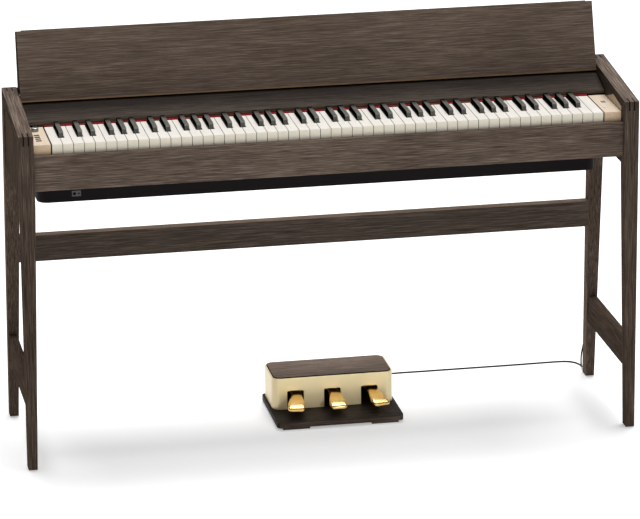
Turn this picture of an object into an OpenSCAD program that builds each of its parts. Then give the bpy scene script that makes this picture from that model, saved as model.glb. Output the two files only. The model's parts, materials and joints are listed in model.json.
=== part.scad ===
// Slim digital piano: an open wooden stand, a keyboard cabinet with a folding lid,
// and a separate three-pedal unit joined to it by a cord.
// Axes: +X to the player's right, +Y away from the player, +Z up. Millimetres.
// The origin is on the floor, midway between the front and the heels of the stand.
// Inside the modules, Y is counted from the front faces of the front legs.

/* [Stand] */
// Width over the outer faces of the side frames
stand_w = 1372; // [1366:1:1390]
// Depth from the front legs' front faces to the rear legs' heels
stand_d = 394; // [388:1:404]
// Width of a leg or arm where they meet
post_w = 33; // [31:1:35]
// Width of a leg at the floor
foot_w = 20; // [18:1:24]
// Depth of a front leg
post_d = 29; // [27:1:32]
// Depth of a rear leg
rear_post_d = 32; // [30:1:34]
// Height of the arms at the front
arm_front_h = 760; // [758:1:764]
// Height of the arms at the rear
arm_rear_h = 789; // [786:1:792]
// Depth of the arms
arm_d = 314; // [312:1:320]
// Thickness of the arms
arm_h = 29; // [27:1:30]
// Height above the floor at which the legs begin to taper
taper_h = 600; // [500:10:605]
// Height of the back beam's lower edge
beam_z = 379; // [300:1:420]
// Height of the back beam itself
beam_h = 62; // [50:1:70]
// Height of the side stretchers' lower edges
stretcher_z = 138; // [100:1:200]
// Height of the side stretchers themselves
stretcher_h = 66; // [50:1:80]

/* [Cabinet] */
// Height of the side panels' lower edges
panel_z = 611; // [606:1:620]
// Height of the front rail's lower edge
rail_z = 634; // [630:1:640]
// Height of the front rail's top edge
rail_top = 712; // [708:1:714]
// Half the width of the chassis under the key bed
chassis_half_w = 630; // [600:1:640]
// Distance of the chassis behind the front of the stand
chassis_y = 155; // [140:1:170]
// Height of the chassis's underside
chassis_z = 564; // [550:1:590]

/* [Keys] */
// Pitch of the white keys
key_pitch = 23.5; // [23.4:0.05:23.5]
// Height of the white keys' tops
key_top = 733; // [732:0.5:734]
// Height of the black keys above the white keys
black_rise = 12; // [10:0.5:13]
// Depth of the white keys' front edge behind the front of the stand
key_front = 24; // [23.5:0.5:26]
// Turn of a key from rest to its stop, in degrees
key_turn = 2.3; // [1.5:0.1:2.6]

/* [Lid] */
// Thickness of the lid's two leaves
leaf_t = 15; // [13:0.5:16]
// Length of the front leaf from the fold to the brass strip
front_leaf = 154; // [150:1:156]
// Length of the rear leaf from its hinge to the fold
rear_leaf = 127; // [125:1:129]
// Turn of the rear leaf from closed to raised, in degrees
rear_turn = 104.9; // [100:0.1:106]
// Turn of the front leaf from closed to raised, in degrees
front_turn = 66.75; // [64:0.05:68]

/* [Pedal unit] */
// Sideways place of the unit's middle
unit_x = 40.5; // [-100:0.5:100]
// Width of the base board
base_w = 291; // [285:1:300]
// Depth of the base board
base_d = 215; // [205:1:230]
// Width of the shell
shell_w = 280; // [270:1:284]
// Depth of the shell
shell_d = 122; // [115:1:130]
// Distance between neighbouring pedals
pedal_pitch = 85.5; // [80:0.5:90]
// Sideways splay of the outer pedals, in degrees
splay = 10; // [0:0.5:12]
// Diameter of the pedal cord
cord_d = 3.6; // [3:0.1:3.8]

/* [Hidden] */

$fn = 48;

// Colours
walnut = [0.34, 0.28, 0.24];
dark_stain = [0.12, 0.09, 0.08];
black = [0.10, 0.09, 0.09];
pale_wood = [0.78, 0.68, 0.52];
ivory = [0.92, 0.89, 0.84];
gold = [0.85, 0.66, 0.30];
brass = [0.62, 0.46, 0.26];
cream_gold = [0.82, 0.75, 0.58];
steel = [0.72, 0.72, 0.73];
board_green = [0.10, 0.32, 0.20];
felt_red = [0.50, 0.02, 0.04];

// Small clearances
gap = 0.3;
run = 0.05;
jack_clear = 0.1;

// Stand
half_w = stand_w / 2;
inner = half_w - post_w;
arm_rise = (arm_rear_h - arm_front_h) / arm_d;
slope = atan(arm_rise);
glide_t = 1.5;
rear_lean = (stand_d - arm_d) / arm_rear_h;
spline_t = 3;
spline_back = 24;
spline_down = 21;
slot_past = 5;
panel_inset = 4;
panel_t = 25;
stretcher_inset = 2;
stretcher_t = 18;
beam_t = 26;
beam_half = inner + 2;
bolt_r = 3;
bolt_in_beam = 56;
bolt_in_leg = 16;
bolt_zs = [beam_z + beam_h / 4, beam_z + beam_h * 3 / 4];

// Cabinet
cab_half = inner;
wall = 3;
rail_front = 9;
rail_t = 13.5;
bed_y = rail_front + rail_t;
bed_back = 300;
bed_z = rail_z;
bed_t = 18;
bed_top = bed_z + bed_t;
chassis_back = 300;
chassis_r = 24;
block_inner = 613.6;
block_half = inner - 1.6;
block_back = 171;
block_middle = (block_inner + block_half) / 2;
hollow_w = 26;
lip_y = 174;
lip_z = 735.5;
lip_top = 743.5;
felt_t = 2;
board_start = 248;
hinge_y = 301;
hinge_board_t = 13.5;
board_drop = 1.5;
back_board_t = 12;
back_board_z = 614;

// Keys
keys_half = 26 * key_pitch;
key_gap = 1.2;
key_h = 22;
head_end = 74;
tail_end = 169;
black_w = 11;
black_cap_w = 10;
black_clear = 1.5;
black_back = 167;
lever_z = 714;
lever_h = 14;
white_lever_w = 10;
black_lever_w = 8;
lever_end = 290;
pivot_y = 276;
pivot_z = 721;
pivot_r = 2;
OCTAVE = 7;
// Sideways shift of a black key from the joint between its two white keys, by the lower white key's
// place in the order A B C D E F G; undef where the pair has no black key
BLACK_SHIFT = [3.3, undef, -2.5, 2.5, undef, -3.3, 0];

// Lid, in a frame that lies along the slope of the arms: u rearwards, v upwards
liner_t = 0.9;
leaf_half = inner - 1.4;
leaf_gap = 0.4;
strip_land = 8;
pin_u = -140.5;
pin_v = 7.5;
pin_r = 2.5;
pin_proud = 1;
pin_sunk = 12;
hinge_z = arm_front_h + arm_rise * hinge_y;
barrel_r = 2.5;
barrel_clear = 2.8;
strip_w = 3.5;
fold_closed = [-rear_leaf, -leaf_t];
fold_angle = slope - rear_turn;
fold_y = hinge_y + fold_closed[0] * cos(fold_angle) - fold_closed[1] * sin(fold_angle);
fold_z = hinge_z + fold_closed[0] * sin(fold_angle) + fold_closed[1] * cos(fold_angle);

// Electronics
speaker_x = 440;
speaker_y = 228;
speaker_r = 52;
grille_pitch = 13;
grille_hole_r = 4.5;
jack_x = -545;
jack_z = 582;
jack_plate_w = 20;
jack_plate_h = 13;
jack_proud = 0.5;
jack_bore = 14;
large_jack_r = 3.175;
small_jack_r = 1.75;
inlet_x = 551;
inlet_r = 2.75;
rear_jack_w = 16;
jack_face = chassis_back + jack_proud;
board_t = 1.6;
support_t = 1.6;
// Lever gaps in which the pivot shaft's inner supports stand: key number and distance from its left edge
SUPPORT_KEYS = [10, 24, 38];
support_offset = 4.1;

// Controls
knob_x = -634;
knob_y = 140;
knob_r = 8;
knob_h = 8;
knob_shaft_r = 3;
button_x = -635;
button_ys = [103, 88, 73, 58];
button_w = 12;
button_d = 5;
button_r = 2;
button_proud = 1.5;
button_foot = 2;
power_x = 626;
power_y = 66;
power_r = 3;
window_x = 633;
window_y = 112;
window_w = 10;
window_d = 16;
window_t = 2;
pocket_h = 22;

// Pedal unit
base_y = 143;
base_z = 4;
base_t = 12;
base_r = 12;
foot_pad_w = 62;
foot_pad_d = 32;
foot_pad_x = 102;
shell_y = 235;
shell_z = base_z + base_t;
shell_top = 90;
shell_r = 20;
shell_wall = 3;
slot_w = 38;
slot_h = 44;
slot_r = 4;
recess_d = 5;
roof_t = 5;
top_board_inset = 4;
top_board_t = 7;
slot_shift = -2;
neck_shift = 2;
pedal_tip_y = 168;
pedal_pivot_y = 322;
pedal_pivot_z = 42;
pedal_shaft_r = 4;
pedal_neck_w = 24;
pedal_tip_w = 41;
pedal_neck_y = 246;

// Cord: out of the shell, along the floor, round the right rear leg, up behind it and in to the jack
CORD_ROUTE = [
    [140, 381, 24], [140, 392, 23], [142, 406, 18], [147, 422, 11], [156, 438, 5], [168, 452, 2.2],
    [184, 463, 1.9], [204, 470, 1.9], [230, 472, 1.9], [300, 472, 1.9], [370, 472, 1.9], [440, 472, 1.9],
    [510, 472, 1.9], [580, 473, 1.9], [628, 473, 1.9], [648, 470, 1.9], [662, 461, 1.9],
    [670, 448, 1.9], [673, 434, 2.2], [671, 420, 5], [667, 408, 12], [664, 399, 24], [663, 394, 40],
    [665, 391, 60], [669, 389, 80], [673, 386.5, 100], [674, 382.4, 140],
    [674, 366.2, 300], [674, 356, 400], [674, 347.9, 480], [674, 344.4, 514], [673, 342.5, 535],
    [669, 343, 555], [660, 344.5, 570], [647, 346, 582], [630, 346, 588], [614, 344, 590],
    [601, 339, 590], [593, 331, 590], [591, 321, 590]
];
cord_sides = 8;
relief_bore_r = 3.3;
plug_x = 591;
plug_z = 590;
plug_back = 321;
plug_r = 4.5;
plug_pin = 12;
clip_x = 674;
clip_zs = [140, 300, 480];
clip_w = 12;
clip_h = 10;
clip_d = 6;
clip_grip = 0.05;
cord_behind_leg = 2.6;

// ---------------------------------------------------------------- helpers

// Colours a sub-part and moves it from the front datum to the part's own origin
module part(shade) color(shade) translate([0, -stand_d / 2, 0]) children();

module both_sides() {
    children();
    mirror([1, 0, 0]) children();
}

// Extrudes a [y, z] outline across the piano from x0 to x1
module across(outline, x0, x1) translate([x0, 0, 0]) rotate([90, 0, 90])
    linear_extrude(x1 - x0) polygon(outline);

// Extrudes an [x, z] outline rearwards from y0 to y1
module rearwards(y0, y1) translate([0, y1, 0]) rotate([90, 0, 0])
    linear_extrude(y1 - y0) children();

module rounded_rect(w, d, r) {
    square([w - 2 * r, d], center = true);
    square([w, d - 2 * r], center = true);
    for (x = [-1, 1], y = [-1, 1]) translate([x * (w / 2 - r), y * (d / 2 - r)]) circle(r);
}

module rod_x(x0, x1, y, z, r) translate([x0, y, z]) rotate([0, 90, 0]) cylinder(h = x1 - x0, r = r);

module rod_y(y0, y1, x, z, r) translate([x, y0, z]) rotate([-90, 0, 0]) cylinder(h = y1 - y0, r = r);

function arm_top(y) = arm_front_h + arm_rise * y;
function arm_under(y) = arm_top(y) - arm_h;
function leg_rear(z) = stand_d - rear_lean * z;
function leg_front(z) = leg_rear(z) - rear_post_d;
function lid_under(y) = arm_top(y) - leaf_t;
function board_top(y) = lid_under(y) - board_drop;
function board_under(y) = board_top(y) - hinge_board_t;
function taper_x(z) = half_w - (z >= taper_h ? post_w : foot_w + (post_w - foot_w) * z / taper_h);

// ---------------------------------------------------------------- stand

// The right leg's front outline: straight outside, tapered inside
module leg_face() polygon([
    [half_w, 0], [half_w, arm_rear_h + 10], [inner, arm_rear_h + 10], [inner, taper_h], [half_w - foot_w, 0]
]);

// The plates' outlines in the mitred corners
front_spline = [[0, arm_front_h], [spline_back, arm_top(spline_back)], [0, arm_front_h - spline_down]];
rear_spline = [
    [arm_d, arm_rear_h], [arm_d - spline_back, arm_top(arm_d - spline_back)],
    [leg_rear(arm_rear_h - spline_down), arm_rear_h - spline_down]
];

// The slots the plates are glued into, carried on past the wood's surface so that they are cut right through it
function beyond(a, b) = b + (b - a) / norm(b - a) * slot_past;
function slot(spline, outwards) = [
    spline[0] + outwards * slot_past, beyond(spline[2], spline[1]), beyond(spline[1], spline[2])
];
front_slot = slot(front_spline, [-1, 1]);
rear_slot = slot(rear_spline, [1, 1]);

module spline_pair(outline, t) for (third = [1, 2])
    across(outline, inner + post_w * third / 3 - t / 2, inner + post_w * third / 3 + t / 2);

rear_mitre_y = leg_front(arm_under(arm_d - rear_post_d));

// The two bolts hidden in the beam's right end and screwed into the leg beside it
module beam_bolts() for (z = bolt_zs)
    rod_x(inner - bolt_in_beam, inner + bolt_in_leg, leg_front(z) + beam_t / 2, z, bolt_r);

module front_legs() part(walnut) both_sides() difference() {
    intersection() {
        across([
            [0, glide_t], [post_d, glide_t], [post_d, arm_under(post_d)], [0, arm_front_h]
        ], inner, half_w);
        rearwards(0, post_d) leg_face();
    }
    spline_pair(front_slot, spline_t);
}

module rear_legs() part(walnut) both_sides() difference() {
    intersection() {
        across([
            [leg_front(glide_t), glide_t], [leg_rear(glide_t), glide_t], [arm_d, arm_rear_h],
            [rear_mitre_y, arm_under(rear_mitre_y)]
        ], inner, half_w);
        rearwards(arm_d - 2 * rear_post_d, stand_d) leg_face();
    }
    spline_pair(rear_slot, spline_t);
    beam_bolts();
}

module arms() part(walnut) both_sides() difference() {
    across([
        [0, arm_front_h], [post_d, arm_under(post_d)], [rear_mitre_y, arm_under(rear_mitre_y)],
        [arm_d, arm_rear_h]
    ], inner, half_w);
    spline_pair(front_slot, spline_t);
    spline_pair(rear_slot, spline_t);
}

module corner_splines() part(dark_stain) both_sides() {
    spline_pair(front_spline, spline_t);
    spline_pair(rear_spline, spline_t);
}

module side_panels() part(walnut) both_sides() across([
    [post_d, panel_z], [leg_front(panel_z), panel_z], [rear_mitre_y, arm_under(rear_mitre_y)],
    [post_d, arm_under(post_d)]
], half_w - panel_inset - panel_t, half_w - panel_inset);

module side_stretchers() part(walnut) both_sides() across([
    [post_d, stretcher_z], [leg_front(stretcher_z), stretcher_z],
    [leg_front(stretcher_z + stretcher_h), stretcher_z + stretcher_h], [post_d, stretcher_z + stretcher_h]
], half_w - stretcher_inset - stretcher_t, half_w - stretcher_inset);

module back_beam() part(walnut) difference() {
    intersection() {
        across([
            [leg_front(beam_z), beam_z], [leg_front(beam_z) + beam_t, beam_z],
            [leg_front(beam_z + beam_h) + beam_t, beam_z + beam_h],
            [leg_front(beam_z + beam_h), beam_z + beam_h]
        ], -half_w, half_w);
        // The beam's ends follow the legs' tapered inner faces
        rearwards(arm_d - 10, stand_d) polygon([
            [-taper_x(beam_z), beam_z], [taper_x(beam_z), beam_z],
            [taper_x(beam_z + beam_h), beam_z + beam_h], [-taper_x(beam_z + beam_h), beam_z + beam_h]
        ]);
    }
    both_sides() beam_bolts();
}

module foot_glides() part(black) both_sides() for (y = [post_d / 2, leg_front(0) + rear_post_d / 2])
    translate([half_w - foot_w / 2 - 0.5, y, 0]) cylinder(h = glide_t, r = 8);

module stand_bolts() part(steel) both_sides() beam_bolts();

// ---------------------------------------------------------------- cabinet

module front_rail() part(walnut)
    translate([-cab_half, rail_front, rail_z]) cube([2 * cab_half, rail_t, rail_top - rail_z]);

module key_bed() part(black) difference() {
    translate([-cab_half, bed_y, bed_z]) cube([2 * cab_half, bed_back - bed_y, bed_t]);
    // Cable pass-through from the chassis to the keyboard
    translate([0, 240, bed_z - 1]) cylinder(h = bed_t + 2, r = 20);
}

// The tray's plan: square at the back, rounded at the front corners
module tray_plan(inset) {
    r = chassis_r - inset;
    w = chassis_half_w - inset;
    y0 = chassis_y + inset;
    y1 = chassis_back - inset;
    translate([-w + r, y0]) square([2 * (w - r), y1 - y0]);
    translate([-w, y0 + r]) square([2 * w, y1 - y0 - r]);
    for (x = [-1, 1]) translate([x * (w - r), y0 + r]) circle(r);
}

module chassis_tray() part(black) difference() {
    translate([0, 0, chassis_z]) linear_extrude(bed_z - chassis_z) tray_plan(0);
    translate([0, 0, chassis_z + wall]) linear_extrude(bed_z - chassis_z) tray_plan(wall);
    // Downward speaker openings, each behind a grid of round holes
    both_sides() for (x = [-3:3], y = [-3:3]) if (x * x + y * y <= 10)
        translate([speaker_x + x * grille_pitch, speaker_y + y * grille_pitch, chassis_z - 1])
        cylinder(h = wall + 2, r = grille_hole_r);
    translate([jack_x - jack_plate_w / 2, chassis_y - 1, jack_z - jack_plate_h / 2])
        cube([jack_plate_w, wall + 2, jack_plate_h]);
    // Square openings that the jack blocks fill
    for (x = [plug_x, inlet_x])
        translate([x - rear_jack_w / 2, chassis_back - wall - 1, plug_z - rear_jack_w / 2])
        cube([rear_jack_w, wall + 2, rear_jack_w]);
}

// Block beside the keys, on the right; pockets in it hold the controls
module end_block() translate([block_inner, key_front, bed_top])
    cube([block_half - block_inner, block_back - key_front, key_top - bed_top]);

// Hollow on the right for a small board, from the key bed up to the underside of the block's top
module block_hollow() translate([block_middle - hollow_w / 2, key_front + 8, bed_top - 1])
    cube([hollow_w, block_back - key_front - 16, key_top - pocket_h - bed_top + 1]);

module end_block_left() part(pale_wood) difference() {
    mirror([1, 0, 0]) end_block();
    mirror([1, 0, 0]) block_hollow();
    translate([knob_x, knob_y, key_top - pocket_h - 1]) cylinder(h = pocket_h + 2, r = knob_shaft_r + run);
    for (y = button_ys) translate([button_x, y, key_top - pocket_h - 1])
        linear_extrude(pocket_h + 2) rounded_rect(button_w + 2 * gap, button_d + 2 * gap, button_r + gap);
}

module end_block_right() part(pale_wood) difference() {
    end_block();
    block_hollow();
    translate([power_x, power_y, key_top - pocket_h - 1]) cylinder(h = pocket_h + 2, r = power_r + gap);
    translate([window_x - window_w / 2, window_y - window_d / 2, key_top - window_t])
        cube([window_w, window_d, window_t + 1]);
}

module fallboard() part(walnut) across([
    [lip_y, lip_z], [lip_y, lip_top], [board_start, board_top(board_start)],
    [board_start, board_under(board_start)], [lip_y + 16, lip_z - 1], [lip_y + 6, lip_z]
], -leaf_half, leaf_half);

module felt_strip() part(felt_red)
    translate([-keys_half, tail_end - 0.5, lip_z - felt_t]) cube([2 * keys_half, 11, felt_t]);

module top_board() part(walnut) difference() {
    across([
        [board_start, board_under(board_start)], [board_start, board_top(board_start)],
        [hinge_y + 1, board_top(hinge_y)], [hinge_y + 1, hinge_z - 0.5], [arm_d - 1, arm_top(arm_d) - 1],
        [arm_d - 1, board_under(arm_d)]
    ], -cab_half, cab_half);
    rod_x(-half_w, half_w, hinge_y, hinge_z, barrel_r);
}

module back_board() part(dark_stain) translate([-cab_half, bed_back, back_board_z])
    cube([2 * cab_half, back_board_t, board_under(bed_back) - back_board_z]);

// Thin liner on each arm's inner face, from the end block's top up to the closed lid
module arm_liners() part(pale_wood) both_sides() across([
    [post_d + 1, key_top], [lip_y - 1, key_top], [lip_y - 1, lip_top + 1],
    [board_start, board_top(board_start) + 1], [board_start, lid_under(board_start)],
    [post_d + 1, lid_under(post_d + 1)]
], inner - liner_t, inner);

// ---------------------------------------------------------------- lid

// Draws in the slope frame of the closed lid: children use [y = u, z = v] about the rear hinge's axis
module about_rear_hinge() translate([0, hinge_y, hinge_z]) rotate([slope - rear_turn, 0, 0]) children();

// The same about the fold's axis, with the front leaf raised
module about_fold() translate([0, fold_y, fold_z]) rotate([slope + front_turn, 0, 0]) children();

module lid_back_hinge() part(brass) rod_x(-leaf_half + 12, leaf_half - 12, hinge_y, hinge_z, barrel_r);

module lid_rear_leaf() part(walnut) difference() {
    about_rear_hinge() across([
        [leaf_gap - rear_leaf, -leaf_t], [-1.5, -leaf_t], [-1.5, 0], [leaf_gap - rear_leaf, 0]
    ], -leaf_half, leaf_half);
    rod_x(-half_w, half_w, hinge_y, hinge_z, barrel_clear);
    rod_x(-half_w, half_w, fold_y, fold_z, barrel_r);
}

module lid_fold_hinge() part(brass) rod_x(-leaf_half + 12, leaf_half - 12, fold_y, fold_z, barrel_r);

module lid_front_leaf() part(walnut) difference() {
    about_fold() across([
        [-front_leaf, 0], [-leaf_gap, 0], [-leaf_gap, leaf_t], [-front_leaf, leaf_t]
    ], -leaf_half, leaf_half);
    rod_x(-half_w, half_w, fold_y, fold_z, barrel_clear);
    both_sides() guide_pin();
}

module guide_pin() about_fold() rod_x(leaf_half - pin_sunk, leaf_half + pin_proud, pin_u, pin_v, pin_r);

// Short pins in the front leaf's ends, close to the arms
module lid_guide_pins() part(brass) both_sides() guide_pin();

// Brass strip along the free edge, bevelled where it faces the board
module lid_edge_strip() part(brass) about_fold() across([
    [-front_leaf - strip_w, strip_land], [-front_leaf, 0], [-front_leaf, leaf_t],
    [-front_leaf - strip_w, leaf_t]
], -leaf_half, leaf_half);

// ---------------------------------------------------------------- controls

module volume_knob() part(steel) translate([knob_x, knob_y, key_top + gap]) {
    cylinder(h = knob_h, r = knob_r);
    translate([0, 0, -pocket_h]) cylinder(h = pocket_h + 1, r = knob_shaft_r);
}

module sound_button(n) part(black) translate([button_x, button_ys[n - 1], key_top - pocket_h + button_foot])
    linear_extrude(pocket_h - button_foot + button_proud) rounded_rect(button_w, button_d, button_r);

module sound_button_1() sound_button(1);
module sound_button_2() sound_button(2);
module sound_button_3() sound_button(3);
module sound_button_4() sound_button(4);

module power_button() part(ivory) translate([power_x, power_y, key_top - pocket_h + button_foot])
    cylinder(h = pocket_h - button_foot + button_proud, r = power_r);

module display_window() part(steel)
    translate([window_x - window_w / 2, window_y - window_d / 2, key_top - window_t])
    cube([window_w, window_d, window_t]);

// ---------------------------------------------------------------- electronics

// Two headphone jacks behind one plate in the chassis's front
module headphone_jacks() part(steel) difference() {
    translate([jack_x - jack_plate_w / 2, chassis_y - jack_proud, jack_z - jack_plate_h / 2])
        cube([jack_plate_w, jack_bore + 4, jack_plate_h]);
    translate([0, chassis_y - jack_proud, 0]) {
        rod_y(-1, jack_bore, jack_x - 4.5, jack_z, large_jack_r + jack_clear);
        rod_y(-1, jack_bore, jack_x + 5.5, jack_z, small_jack_r + jack_clear);
    }
}

module speakers() part(black) both_sides() translate([speaker_x, speaker_y, chassis_z + wall]) {
    difference() {
        cylinder(h = 4, r = speaker_r);
        translate([0, 0, -1]) cylinder(h = 6, r = speaker_r - 6);
    }
    difference() {
        translate([0, 0, 4]) cylinder(h = 20, r1 = speaker_r, r2 = 22);
        translate([0, 0, 3.9]) cylinder(h = 20, r1 = speaker_r - 3, r2 = 19);
    }
    translate([0, 0, 24]) cylinder(h = 18, r = 30);
}

module circuit_boards() part(board_green) {
    // Main board on four pillars in the chassis
    translate([-150, 180, chassis_z + wall + 5]) cube([300, 100, board_t]);
    for (x = [-145, 140], y = [185, 270]) translate([x, y, chassis_z + wall]) cube([5, 5, 5]);
    // Key sensor board under the keys' levers
    translate([-keys_half, 196, bed_top]) cube([2 * keys_half, 50, board_t]);
    // Small boards under the controls in the end blocks
    both_sides() translate([block_middle - hollow_w / 2, key_front + 12, key_top - pocket_h - 8])
        cube([hollow_w, block_back - key_front - 24, board_t]);
}

// The keys' common shaft, held by thin supports that stand on one foot
module key_pivot_rail() part(steel) {
    rail_end = keys_half + 6;
    rod_x(-rail_end, rail_end, pivot_y, pivot_z, pivot_r);
    inner_supports = [for (i = SUPPORT_KEYS) white_x(i) + support_offset - support_t / 2];
    for (x = concat([-rail_end, rail_end - support_t], inner_supports))
        translate([x, pivot_y - 6, bed_top]) cube([support_t, 12, pivot_z - bed_top + 6]);
    translate([-rail_end, pivot_y - 6, bed_top]) cube([2 * rail_end, 18, 3]);
}

// Pedal jack and power inlet: blocks that stand a little proud of the chassis's rear face
module rear_jacks() part(steel) for (x = [plug_x, inlet_x]) difference() {
    translate([x - rear_jack_w / 2, chassis_back - wall - rear_jack_w, plug_z - rear_jack_w / 2])
        cube([rear_jack_w, rear_jack_w + wall + jack_proud, rear_jack_w]);
    rod_y(jack_face - jack_bore, jack_face + 1, x, plug_z,
        x == plug_x ? small_jack_r + jack_clear : inlet_r + jack_clear);
}

// ---------------------------------------------------------------- keys

function white_x(i) = -keys_half + key_pitch * i;
function black_x(i) = white_x(i + 1) + BLACK_SHIFT[i % OCTAVE];
function has_black(i) = i >= 0 && i < 51 && BLACK_SHIFT[(i + OCTAVE) % OCTAVE] != undef;

// The lever behind a key, with its bore on the pivot shaft
module key_lever(x, w, y0) difference() {
    translate([x - w / 2, y0, lever_z]) cube([w, lever_end - y0, lever_h]);
    rod_x(x - w, x + w, pivot_y, pivot_z, pivot_r + run);
}

module white_key(i) {
    left = white_x(i) + key_gap / 2;
    right = white_x(i + 1) - key_gap / 2;
    side_cut = black_w / 2 + black_clear;
    tail_left = has_black(i - 1) ? black_x(i - 1) + side_cut : left;
    tail_right = has_black(i) ? black_x(i) - side_cut : right;
    translate([left, key_front, key_top - key_h]) cube([right - left, head_end - key_front, key_h]);
    translate([tail_left, head_end - 0.1, key_top - key_h])
        cube([tail_right - tail_left, tail_end - 1 - head_end, key_h]);
    key_lever((tail_left + tail_right) / 2, white_lever_w, tail_end - 2);
}

module black_key(i) {
    x = black_x(i);
    top = key_top + black_rise;
    across([[head_end + 2, lever_z], [black_back, lever_z], [black_back, key_top], [head_end + 2, key_top]],
        x - black_w / 2, x + black_w / 2);
    across([
        [head_end + 2, key_top - 1], [black_back, key_top - 1], [black_back, top], [head_end + 9, top],
        [head_end + 5, top - 2]
    ], x - black_cap_w / 2, x + black_cap_w / 2);
    key_lever(x, black_lever_w, black_back - 1);
}

// All the white keys of one name; the order starts at A
module white_keys(place) part(ivory) for (i = [place:OCTAVE:51]) white_key(i);

// All the black keys above one white key's name
module black_keys(place) part(black) for (i = [place:OCTAVE:50]) black_key(i);

module keys_a() white_keys(0);
module keys_b() white_keys(1);
module keys_c() white_keys(2);
module keys_d() white_keys(3);
module keys_e() white_keys(4);
module keys_f() white_keys(5);
module keys_g() white_keys(6);
module keys_a_sharp() black_keys(0);
module keys_c_sharp() black_keys(2);
module keys_d_sharp() black_keys(3);
module keys_f_sharp() black_keys(5);
module keys_g_sharp() black_keys(6);

// ---------------------------------------------------------------- pedal unit

module pedal_base() part(dark_stain) {
    translate([unit_x, base_y + base_d / 2, base_z]) linear_extrude(base_t)
        rounded_rect(base_w, base_d, base_r);
    // Raised feet under the four corners
    for (x = [-1, 1], y = [0, 1])
        translate([unit_x + x * foot_pad_x - foot_pad_w / 2, base_y + y * (base_d - foot_pad_d), 0])
        cube([foot_pad_w, foot_pad_d, base_z + 0.1]);
}

module shell_plan(inset) translate([unit_x, shell_y + shell_d / 2])
    rounded_rect(shell_w - 2 * inset, shell_d - 2 * inset, shell_r - inset);

// A slot's outline: square at the bottom, rounded at the top
module slot_face() {
    translate([-slot_w / 2, -1]) square([slot_w, slot_h - slot_r + 1]);
    translate([-slot_w / 2 + slot_r, 0]) square([slot_w - 2 * slot_r, slot_h]);
    for (x = [-1, 1]) translate([x * (slot_w / 2 - slot_r), slot_h - slot_r]) circle(slot_r);
}

module pedal_shell() part(cream_gold) difference() {
    translate([0, 0, shell_z]) linear_extrude(shell_top - shell_z) shell_plan(0);
    translate([0, 0, shell_z - 1]) linear_extrude(shell_top - recess_d - roof_t - shell_z + 1)
        shell_plan(shell_wall);
    translate([0, 0, shell_top - recess_d]) linear_extrude(recess_d + 1) shell_plan(top_board_inset - gap);
    for (n = [-1:1]) translate([unit_x + slot_shift + n * pedal_pitch, 0, shell_z])
        rearwards(shell_y - 1, shell_y + shell_wall + 1) slot_face();
    rod_y(shell_y + shell_d - shell_wall - 1, shell_y + shell_d + 1, CORD_ROUTE[0][0], CORD_ROUTE[0][2],
        relief_bore_r);
}

module pedal_top_board() part(walnut) translate([0, 0, shell_top - recess_d])
    linear_extrude(top_board_t) shell_plan(top_board_inset);

// Side outline of a pedal: level inside the shell, sloping down to a blunt rounded tip
pedal_side = [
    [pedal_pivot_y + 8, 36], [pedal_pivot_y + 8, 48], [pedal_neck_y, 56], [pedal_tip_y + 30, 48],
    [pedal_tip_y + 12, 43.5], [pedal_tip_y + 3, 40.5], [pedal_tip_y, 38], [pedal_tip_y, 32],
    [pedal_tip_y + 3, 30.5], [pedal_tip_y + 14, 32], [pedal_neck_y, 42], [pedal_pivot_y - 20, 36]
];

// Plan of a pedal's tread in front of the neck, about the neck's middle
tread_len = pedal_neck_y - pedal_tip_y;
tread_plan = [
    [-pedal_neck_w / 2, 0], [-pedal_neck_w / 2, -14], [-15, -30], [-19, -44], [-pedal_tip_w / 2, -56],
    [-pedal_tip_w / 2, -66], [-18, -tread_len + 5], [-14, -tread_len], [14, -tread_len], [18, -tread_len + 5],
    [pedal_tip_w / 2, -66], [pedal_tip_w / 2, -56], [19, -44], [15, -30], [pedal_neck_w / 2, -14],
    [pedal_neck_w / 2, 0]
];

module pedal(n) {
    x = unit_x + neck_shift + n * pedal_pitch;
    difference() {
        intersection() {
            across(pedal_side, x - 40, x + 40);
            union() {
                translate([x - pedal_neck_w / 2, pedal_neck_y - 4, 20])
                    cube([pedal_neck_w, pedal_pivot_y + 10 - pedal_neck_y + 4, 50]);
                translate([x, pedal_neck_y, 20]) rotate([0, 0, n * splay]) linear_extrude(50)
                    polygon(tread_plan);
            }
        }
        rod_x(x - 40, x + 40, pedal_pivot_y, pedal_pivot_z, pedal_shaft_r + run);
    }
}

module pedal_left() part(gold) pedal(-1);
module pedal_middle() part(gold) pedal(0);
module pedal_right() part(gold) pedal(1);

module pedal_shaft() part(steel) {
    rod_x(unit_x - 128, unit_x + 128, pedal_pivot_y, pedal_pivot_z, pedal_shaft_r);
    for (x = [-1, 1]) translate([unit_x + x * 122 - 2, pedal_pivot_y - 12, shell_z])
        cube([4, 24, pedal_pivot_z - shell_z + 10]);
}

// ---------------------------------------------------------------- cord

function unit(v) = v / norm(v);
function cord_dir(i) = unit(
    CORD_ROUTE[min(i + 1, len(CORD_ROUTE) - 1)] - CORD_ROUTE[max(i - 1, 0)]
);
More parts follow.
